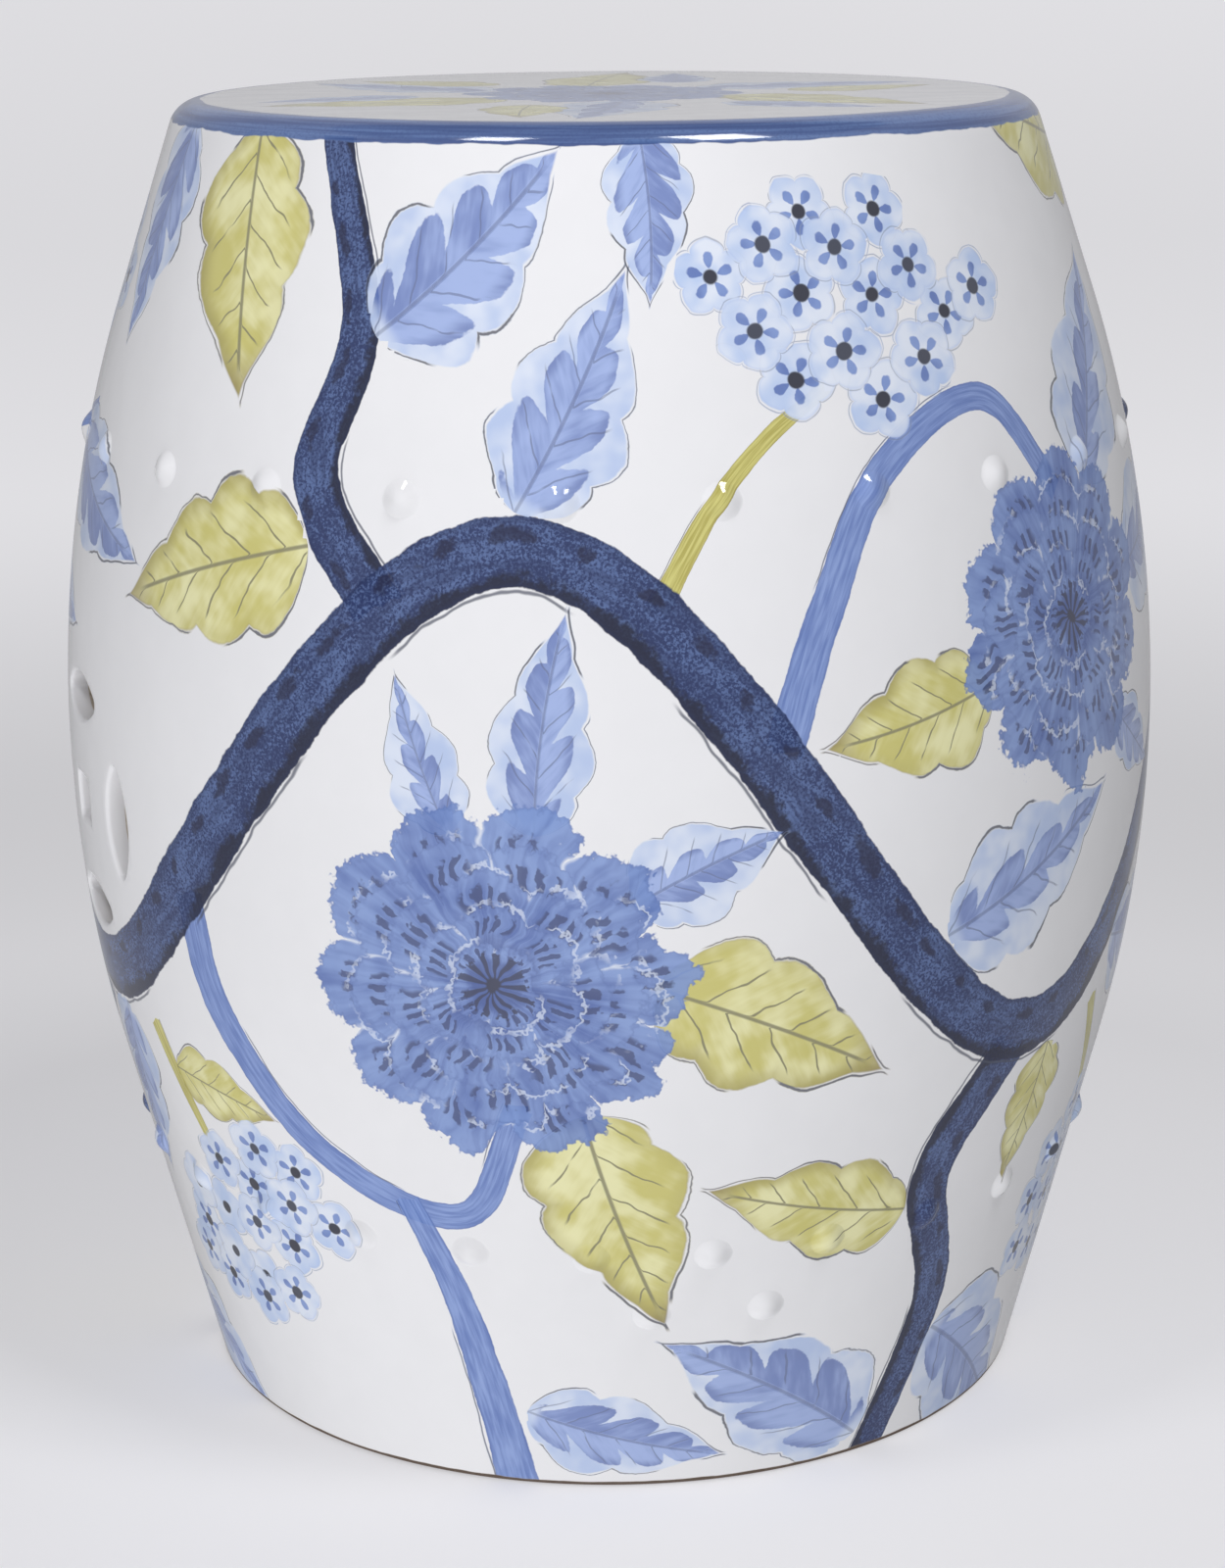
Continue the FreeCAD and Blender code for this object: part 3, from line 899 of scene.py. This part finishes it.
# The grains that all drawing shares: the scale, detail and roughness of each.
GRAINS = {"Wobble": (75.0, 2.0, 0.55), "Fine": (520.0, 1.0, 0.6), "Cloud": (62.0, 2.0, 0.6),
          "Crystal": (1150.0, 1.0, 0.6)}
# The rim line starts at this height on the rounded edge and ends at this radius on top.
RIM_LINE_HEIGHT = 443.7 * MM
RIM_LINE_RADIUS = 137.8 * MM


def glaze_material(name):
    """Clear gloss glaze over a white body, with the brushed layers under it and the blue rim line."""
    material = bpy.data.materials.new(name)
    material.use_nodes = True
    p = Palette(material.node_tree)
    shader = material.node_tree.nodes["Principled BSDF"]
    spot = p.ink(p.node("ShaderNodeTexCoord").outputs["Object"])
    x, y, z = p.split(spot)
    shared = {name: p.grain(spot, *settings) for name, settings in GRAINS.items()}
    colour = p.mix(shared["Cloud"].step(0.2, 0.8), paint(238, 238, 242), paint(240, 240, 244))
    stroke, leaf = group("stroke", draw_stroke), group("leaf", draw_leaf)
    trees = (stroke, stroke, leaf, leaf, group("blossom", draw_blossom), group("small_flowers", draw_spray))
    for layer, tree in zip(LAYERS, trees):
        drawn = p.node("ShaderNodeGroup", node_tree=tree)
        feed(p.tree, drawn, "Place", p.mark(f"{layer}_place", True))
        feed(p.tree, drawn, "Mask", p.mark(f"{layer}_mask"))
        for label, ink in shared.items():
            feed(p.tree, drawn, label, ink)
        colour = p.mix(p.ink(drawn.outputs["Cover"]), colour, p.ink(drawn.outputs["Colour"]))
    # rim line, on the rounded edge of the seat
    radius = (x * x + y * y) ** 0.5
    turn = x.maths("ARCTAN2", y)
    streak = p.grain(p.vector(turn.wave() * 1.8, (turn + math.pi / 2).wave() * 1.8, z * 800.0), 1.0, 2.0, 0.6)
    ragged = (shared["Wobble"] - 0.5) * 0.0026
    band = (z - RIM_LINE_HEIGHT + ragged).step(-0.0002, 0.0003)
    band = band * (radius - RIM_LINE_RADIUS - ragged).step(-0.0002, 0.0004)
    blue = p.mix(streak.step(0.34, 0.66), paint(92, 119, 172), paint(58, 82, 138))
    blue = p.mix(shared["Crystal"].step(0.45, 0.7) * 0.35, blue, paint(52, 74, 128))
    colour = p.mix(band * 0.96, colour, blue)
    # kiln specks, and the bare clay that the glaze leaves under the foot and inside, with painted contact shadow
    # where the foot meets the floor
    specks = p.node("ShaderNodeTexVoronoi")
    specks.inputs["Scale"].default_value = 38.0
    p.tree.links.new(spot.socket, specks.inputs["Vector"])
    chance = p.split(p.ink(specks.outputs["Color"]))[0]
    dot = (p.ink(specks.outputs["Distance"]) - chance * 0.012).fade(0.0, 0.006) * (chance > 0.72)
    colour = p.mix(dot * 0.7, colour, paint(120, 100, 84))
    bare = (p.mark("bare") + (shared["Wobble"] - 0.5) * 0.5).step(-0.10, 0.10)
    # painted contact shadow over the clay's own thin darker edge: bare clay within 3 mm of the floor turns deep
    # brown where the foot meets the floor
    edge = bare * (z < 0.0030)
    clay = p.mix(shared["Fine"].step(0.3, 0.7), paint(206, 194, 180), paint(190, 176, 160))
    colour = p.mix(bare, colour, p.mix(edge * 0.9, clay, paint(74, 54, 42)))
    p.tree.links.new(colour.socket, shader.inputs["Base Color"])
    p.tree.links.new(bare.step(0.0, 1.0, 0.10, 0.75).socket, shader.inputs["Roughness"])
    shader.inputs["IOR"].default_value = 1.52
    ripple = p.grain(spot, 48.0, 1.0, 0.5)
    bump = p.node("ShaderNodeBump")
    bump.inputs["Strength"].default_value = 0.22
    bump.inputs["Distance"].default_value = 0.001
    p.tree.links.new(ripple.socket, bump.inputs["Height"])
    p.tree.links.new(bump.outputs[0], shader.inputs["Normal"])
    return material


# ---------------------------------------------------------------- brushwork: the design

def vine_height(turn_deg):
    """Height in mm of the scrolling vine's middle line: it rises over one coin and dips under the other."""
    turn = math.radians(turn_deg)
    return (234 + 82 * math.cos(3 * turn - math.radians(270)) + 6 * math.cos(turn + 0.6)
            + 5 * math.cos(5 * turn + 1.9))


# The leaves on the wall: the turn and height of the stalk end, the angle from straight up, the length,
# the colour, the half width and the bend as shares of the length, and the layer.
UNDER, OVER = "leaf_under", "leaf_over"
WALL_LEAVES = (
    (-206, 132, -168, 64, OLIVE, 0.32, -0.13, UNDER),
    (-160, 321, 20, 88, OLIVE, 0.31, 0.09, UNDER),
    (-139, 447, -142, 88, BLUE, 0.28, 0.14, OVER),
    (-118, 301, 112, 88, BLUE, 0.29, -0.13, UNDER),
    (-102, 70, -123, 88, OLIVE, 0.3, -0.11, UNDER),
    (-102, 136, -72, 64, OLIVE, 0.34, -0.08, OVER),
    (-101, 342, 120, 88, BLUE, 0.27, -0.13, OVER),
    (-97, 37, 131, 70, BLUE, 0.3, -0.13, UNDER),
    (-85, 150, -166, 70, BLUE, 0.33, -0.11, UNDER),
    (-84, 447, -168, 76, BLUE, 0.27, -0.08, OVER),
    (-74, 136, 94, 52, OLIVE, 0.26, 0.07, UNDER),
    (-67, 447, 174, 88, OLIVE, 0.3, -0.06, UNDER),
    (-50, 324, -103, 88, OLIVE, 0.31, -0.08, UNDER),
    (-45, 387, 50, 82, BLUE, 0.33, -0.1, OVER),
    (-35, 239, -25, 52, BLUE, 0.26, 0.09, OVER),
    (-31, 30, 111, 70, BLUE, 0.27, -0.08, UNDER),
    (-29, 337, 30, 82, BLUE, 0.28, -0.08, UNDER),
    (-27, 239, 1, 70, BLUE, 0.25, 0.13, UNDER),
    (-23, 146, 168, 88, OLIVE, 0.32, -0.12, UNDER),
    (-18, 217, 59, 52, BLUE, 0.35, 0.11, OVER),
    (-16, 447, 171, 52, BLUE, 0.27, 0.13, OVER),
    (-16, 190, 110, 88, OLIVE, 0.3, 0.09, UNDER),
    (13, 8, -47, 88, BLUE, 0.3, -0.13, OVER),
    (14, 196, 73, 88, BLUE, 0.3, -0.12, UNDER),
    (14, 97, -79, 76, OLIVE, 0.27, 0.08, OVER),
    (19, 276, -108, 64, OLIVE, 0.33, 0.11, UNDER),
    (23, 43, 125, 88, BLUE, 0.34, 0.13, UNDER),
    (33, 144, -176, 52, OLIVE, 0.31, 0.13, UNDER),
    (38, 331, 29, 88, BLUE, 0.32, 0.09, UNDER),
    (41, 254, 127, 52, BLUE, 0.26, -0.09, OVER),
    (46, 299, 80, 88, BLUE, 0.31, -0.08, OVER),
    (46, 170, 103, 88, BLUE, 0.27, 0.08, UNDER),
    (64, 237, 150, 76, BLUE, 0.3, 0.13, UNDER),
    (65, 436, -84, 88, OLIVE, 0.32, 0.13, OVER),
    (75, 399, 59, 88, OLIVE, 0.33, 0.1, UNDER),
    (80, 112, 3, 82, BLUE, 0.34, -0.12, OVER),
    (81, 98, -145, 70, OLIVE, 0.28, 0.11, UNDER),
    (83, 20, -133, 82, BLUE, 0.28, 0.12, UNDER),
    (89, 23, 105, 88, BLUE, 0.27, 0.09, UNDER),
    (92, 318, -38, 76, OLIVE, 0.29, -0.1, UNDER),
    (103, 83, 152, 70, BLUE, 0.35, -0.07, OVER),
    (104, 104, 11, 88, OLIVE, 0.3, -0.09, UNDER),
    (108, 331, -38, 82, BLUE, 0.28, -0.09, OVER),
    (110, 331, 156, 52, OLIVE, 0.27, 0.08, UNDER),
    (128, 184, -159, 82, OLIVE, 0.25, -0.08, OVER),
    (138, 65, -72, 82, BLUE, 0.3, 0.1, UNDER),
    (138, 287, -117, 64, BLUE, 0.35, 0.13, UNDER),
    (141, 26, 80, 64, OLIVE, 0.33, 0.12, UNDER),
    (144, 252, -131, 52, OLIVE, 0.31, -0.07, OVER),
    (148, 353, 34, 52, OLIVE, 0.3, 0.08, UNDER),
    (151, 244, 175, 88, BLUE, 0.32, -0.14, UNDER),
    (156, 447, 152, 88, OLIVE, 0.28, 0.07, OVER),
    (164, 314, 44, 88, OLIVE, 0.32, 0.08, UNDER),
    (166, 292, 103, 70, BLUE, 0.29, 0.07, OVER),
    (194, 183, -85, 58, OLIVE, 0.28, -0.13, UNDER),
    (200, 70, -127, 52, OLIVE, 0.27, 0.09, UNDER),
    (203, 20, -128, 76, OLIVE, 0.35, 0.1, UNDER),
    (203, 237, -1, 58, OLIVE, 0.32, 0.12, UNDER),
    (206, 64, 61, 88, BLUE, 0.32, 0.08, OVER),
    (223, 170, 131, 88, OLIVE, 0.32, 0.12, UNDER),
    (228, 334, -35, 58, BLUE, 0.27, -0.12, OVER),
)


def crest_motifs(crest, with_blossom):
    """One bay of the scroll, round the place where the vine is highest. A bay with a coin has no blossom."""
    def at(*spots):
        return [(crest + turn, height) for turn, height in spots]

    motifs = [
        ("stroke", "stem", NAVY, 19, 13, at((-12, 306), (-20, 345), (-17, 392), (-26, 460))),
        ("stroke", "stem", TWIG, 8, 5, at((14, 306), (20, 338), (26, 358), (33, 372))),
        ("spray", at((37, 394))[0], 100, 27),
    ]
    if with_blossom:
        motifs += [
            ("stroke", "stem", MID, 15, 10, at((-36, 206), (-33, 165), (-22, 122), (-6, 106), (1, 150))),
            ("stroke", "vine", MID, 20, 9, at((-2, -12), (-5, 34), (-8, 74), (-12.5, 111))),
            ("blossom", at((-1, 190))[0], 64),
        ]
    else:
        motifs += [
            ("stroke", "stem", MID, 20, 12, at((-3, -12), (-5, 34), (-2, 74), (-10, 112))),
            ("stroke", "vine", MID, 11, 7, at((-3, 44), (10, 76), (14, 104))),
        ]
    return motifs


def trough_motifs(trough, with_blossom):
    """One bay of the scroll, round the place where the vine is lowest. A bay with a coin has no blossom."""
    def at(*spots):
        return [(trough + turn, height) for turn, height in spots]

    motifs = [
        ("stroke", "stem", NAVY, 20, 16, at((-4, 152), (-13, 108), (-9, 56), (-16, -12))),
        ("stroke", "stem", TWIG, 8, 5, at((13, 152), (17, 124), (20, 104))),
        ("spray", at((23, 80))[0], 60, 25),
    ]
    if with_blossom:
        motifs += [
            ("stroke", "stem", MID, 14, 9, at((-34, 262), (-30, 300), (-22, 346), (-8, 364), (2, 330))),
            ("blossom", at((2, 290))[0], 58),
        ]
    else:
        motifs += [
            ("stroke", "stem", MID, 13, 7, at((-34, 262), (-30, 300), (-18, 336), (-4, 352))),
            ("stroke", "vine", TWIG, 9, 6, at((-24, 318), (-26, 360), (-18, 392))),
        ]
    return motifs


def brush_wall(sheet):
    """Brushes the wall's design: a vine that winds round the barrel, with blossoms and leaves in its bays."""
    motifs = []
    for crest, with_blossom in ((-30, True), (90, False), (210, True)):
        motifs += crest_motifs(crest, with_blossom)
    for trough, with_blossom in ((30, True), (150, True), (-90, False)):
        motifs += trough_motifs(trough, with_blossom)
    for number, (kind, *settings) in enumerate(motifs):
        seed = (0.13 + 0.37 * number) % 0.9
        if kind == "stroke":
            layer, colour, start_width, end_width, route = settings
            sheet.stroke(layer, route, start_width, end_width, colour, 1 + 7 * seed)
        elif kind == "blossom":
            sheet.blossom("bloom", settings[0], 40 * number, settings[1], seed)
        else:
            sheet.spray("spray", *settings, seed)
    sheet.stroke("vine", [(t, vine_height(t)) for t in range(-208, 153, 10)], 27, 23, NAVY, 2.3)
    for number, (turn, height, angle, length, colour, width, bend, layer) in enumerate(WALL_LEAVES):
        sheet.leaf(layer, (turn, height), angle, length, colour, (0.07 + 0.619 * number) % 0.9, width, bend)


def brush_seat(sheet):
    """Brushes the seat's face: a blossom in the middle and leaves round it."""
    sheet.blossom("bloom", (0, 0), 10, 50, 0.71)
    # long and short leaves by turns: layer, distance out, turn from straight out, length, first colour, bend
    kinds = ((UNDER, 42, 12, 86, OLIVE, 0.10), (OVER, 64, -14, 60, BLUE, -0.10))
    for number in range(12):
        layer, away, lean, length, first_colour, bend = kinds[number % 2]
        turn = 30 * number + 12
        out = math.radians(turn)
        sheet.leaf(layer, (away * math.sin(out), away * math.cos(out)), turn + lean, length,
                   (number // 2 + first_colour) % 2, (0.23 + 0.31 * number) % 0.9, 0.25, bend)


def brush_on(piece):
    """Gives a piece the attributes that its glaze draws the brushwork from."""
    mesh = piece.data
    points = np.empty(len(mesh.vertices) * 3)
    mesh.vertices.foreach_get("co", points)
    points = points.reshape(-1, 3)
    side = Brushwork(points, WALL)
    brush_wall(side)
    top = Brushwork(points, TOP)
    brush_seat(top)
    radius = np.hypot(points[:, 0], points[:, 1])
    outside = radius > wall_radius(points[:, 2]) - 3 * MM
    outside &= points[:, 2] < WALL_DESIGN_TOP
    on_top = (points[:, 2] > SEAT_HEIGHT - 0.3 * MM) & (radius < SEAT_FACE_RADIUS)
    for layer in LAYERS:
        side.masks[layer] = np.where(on_top, top.masks[layer], side.masks[layer] * outside)
        side.places[layer] = np.where(on_top[:, None], top.places[layer], side.places[layer])
        side.owners[layer] = np.where(on_top, top.owners[layer], side.owners[layer])
    side.store(mesh)
    under = wall_radius(points[:, 2]) - radius
    bare = np.clip(np.maximum(under / MM - 6.5, 1.4 - points[:, 2] / MM), -1, 1)
    bare = np.where(points[:, 2] > SEAT_UNDERSIDE + 0.1 * MM, -1, bare)
    bare_mark = mesh.attributes.new("bare", "FLOAT", "POINT")
    bare_mark.data.foreach_set("value", bare.astype(np.float32))
    share = 1 - hand_made(points) / np.maximum(radius, 1 * MM)
    points[:, :2] *= np.where(radius > 0.1, share, 1)[:, None]
    mesh.vertices.foreach_set("co", points.ravel())
    mesh.update()


# ---------------------------------------------------------------- studio

# The even light from all round, and the broad glows in it: turn, rise, how narrow and how strong.
EVEN_FILL = 0.07
SKY_GLOWS = ((-60, 0, 8.0, 1.88), (-20, -50, 4.0, 1.95), (160, 0, 8.0, 1.3))


def plain(name, colour, roughness):
    material = bpy.data.materials.new(name)
    material.use_nodes = True
    shader = material.node_tree.nodes["Principled BSDF"]
    shader.inputs["Base Color"].default_value = (*colour, 1)
    shader.inputs["Roughness"].default_value = roughness
    return material


def sweep_paper_and_painted_glow():
    """Pale paper of the sweep: it takes shadows, and has painted light, an emission seen by the camera and,
    weaker, in reflections, that glows a little further back and close round the stool, as the lit studio does.
    """
    material = plain("sweep", (0.42, 0.417, 0.43), 0.75)
    p = Palette(material.node_tree)
    shader = material.node_tree.nodes["Principled BSDF"]
    shader.inputs["Specular IOR Level"].default_value = 0.0
    x, y, z = p.split(p.ink(p.node("ShaderNodeTexCoord").outputs["Object"]))
    away = (x * x + y * y) ** 0.5
    # painted light on the floor: a glow that grows brighter further back, plus a brighter pool close round the
    # stool that fades out by 0.9 m
    glow = away.step(0.4, 1.9, 0.34, 0.63) + away.step(0.2, 0.9, 0.13, 0.0)
    rays = p.node("ShaderNodeLightPath")
    # the painted glow shows to the camera and, at 0.45 strength, as a painted reflection in the glaze
    seen = p.ink(rays.outputs["Is Camera Ray"]) + p.ink(rays.outputs["Is Glossy Ray"]) * 0.45
    shader.inputs["Emission Color"].default_value = (0.97, 0.965, 1.0, 1)
    p.tree.links.new((glow * seen).socket, shader.inputs["Emission Strength"])
    return material


def camera_spot():
    """The photograph's viewing angle."""
    azimuth, distance, height = math.radians(-20), 1.170, 0.5204
    data = bpy.data.cameras.new("camera")
    data.lens = 76.76
    data.sensor_width = 36
    data.shift_x = 0.0014
    camera = bpy.data.objects.new("camera", data)
    place = Matrix.Translation((distance * math.sin(azimuth), -distance * math.cos(azimuth), height))
    aim = Matrix.Rotation(azimuth, 4, "Z") @ Matrix.Rotation(math.radians(90 - 15.117), 4, "X")
    camera.matrix_world = place @ aim @ Matrix.Rotation(math.radians(-0.468), 4, "Z")
    bpy.context.scene.collection.objects.link(camera)
    bpy.context.scene.camera = camera


def soft_box(name, azimuth_deg, elevation_deg, distance, size, power):
    """A square soft light that faces the stool."""
    data = bpy.data.lights.new(name, "AREA")
    data.shape = "SQUARE"
    data.size = size
    data.energy = power
    lamp = bpy.data.objects.new(name, data)
    turn, rise = math.radians(azimuth_deg), math.radians(elevation_deg)
    aim = Vector((math.sin(turn) * math.cos(rise), -math.cos(turn) * math.cos(rise), math.sin(rise)))
    lamp.location = aim * distance + Vector((0, 0, 0.22))
    lamp.rotation_euler = aim.to_track_quat("Z", "Y").to_euler()
    bpy.context.scene.collection.objects.link(lamp)


def studio():
    """Pale floor that sweeps up into the backdrop all round, two soft boxes and an even fill."""
    profile = [(0.02, 0.0), (1.0, 0.0), (2.5, 0.0), (4.0, 0.0)]
    for step in range(1, 13):
        bend = step / 12 * math.pi / 2
        profile.append((4.0 + 2.5 * math.sin(bend), 2.5 - 2.5 * math.cos(bend)))
    profile.append((6.5, 8.0))
    shell = Shell()
    rings = [shell.add_points(ring(radius, height, 96)) for radius, height in profile]
    for first, second in zip(rings, rings[1:]):
        shell.join(first, second)
    shell.fan(rings[0], shell.add_points([[0, 0, 0]])[0])
    sweep = shell.finish("studio_sweep")
    sweep.data.materials.append(sweep_paper_and_painted_glow())
    sweep.visible_diffuse = False
    sweep.visible_shadow = False
    world = bpy.data.worlds.new("studio")
    bpy.context.scene.world = world
    world.use_nodes = True
    p = Palette(world.node_tree)
    direction = p.ink(p.node("ShaderNodeTexCoord").outputs["Generated"])
    side, depth, up = p.split(direction)
    glow = EVEN_FILL
    for turn_deg, rise_deg, focus, strength in SKY_GLOWS:
        turn, rise = math.radians(turn_deg), math.radians(rise_deg)
        facing = (side * (math.sin(turn) * math.cos(rise)) + depth * (-math.cos(turn) * math.cos(rise))
                  + up * math.sin(rise))
        glow = facing.at_least(0.0) ** focus * strength + glow
    p.tree.links.new(glow.socket, world.node_tree.nodes["Background"].inputs["Strength"])
    world.node_tree.nodes["Background"].inputs["Color"].default_value = (1, 1, 1, 1)
    soft_box("left_box", -62, 62, 2.4, 0.4, 10.5)
    soft_box("right_box", 24, 62, 2.4, 0.6, 25)
    bpy.context.scene.view_settings.view_transform = "Standard"


# ---------------------------------------------------------------- the stool

glaze = glaze_material("painted_glaze")
pieces = [
    (glazed_wall(), "white_glaze", ("lower_wall", "upper_wall")),
    (glazed_seat(), "white_glaze", ("seat_top",)),
    (standing_foot(), "bare_clay", ("foot_ring",)),
]
for piece, _, _ in pieces:
    piece.data.materials.append(glaze)
row_tree = boss_tree()
for name, node, *settings in BOSS_ROWS:
    pieces.append((boss_row(name, row_tree, glaze, *settings), "boss_glaze", (node,)))

for piece, slot, nodes in pieces:
    brush_on(piece)
    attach(piece, "root")
    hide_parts(*nodes)

camera_spot()
studio()
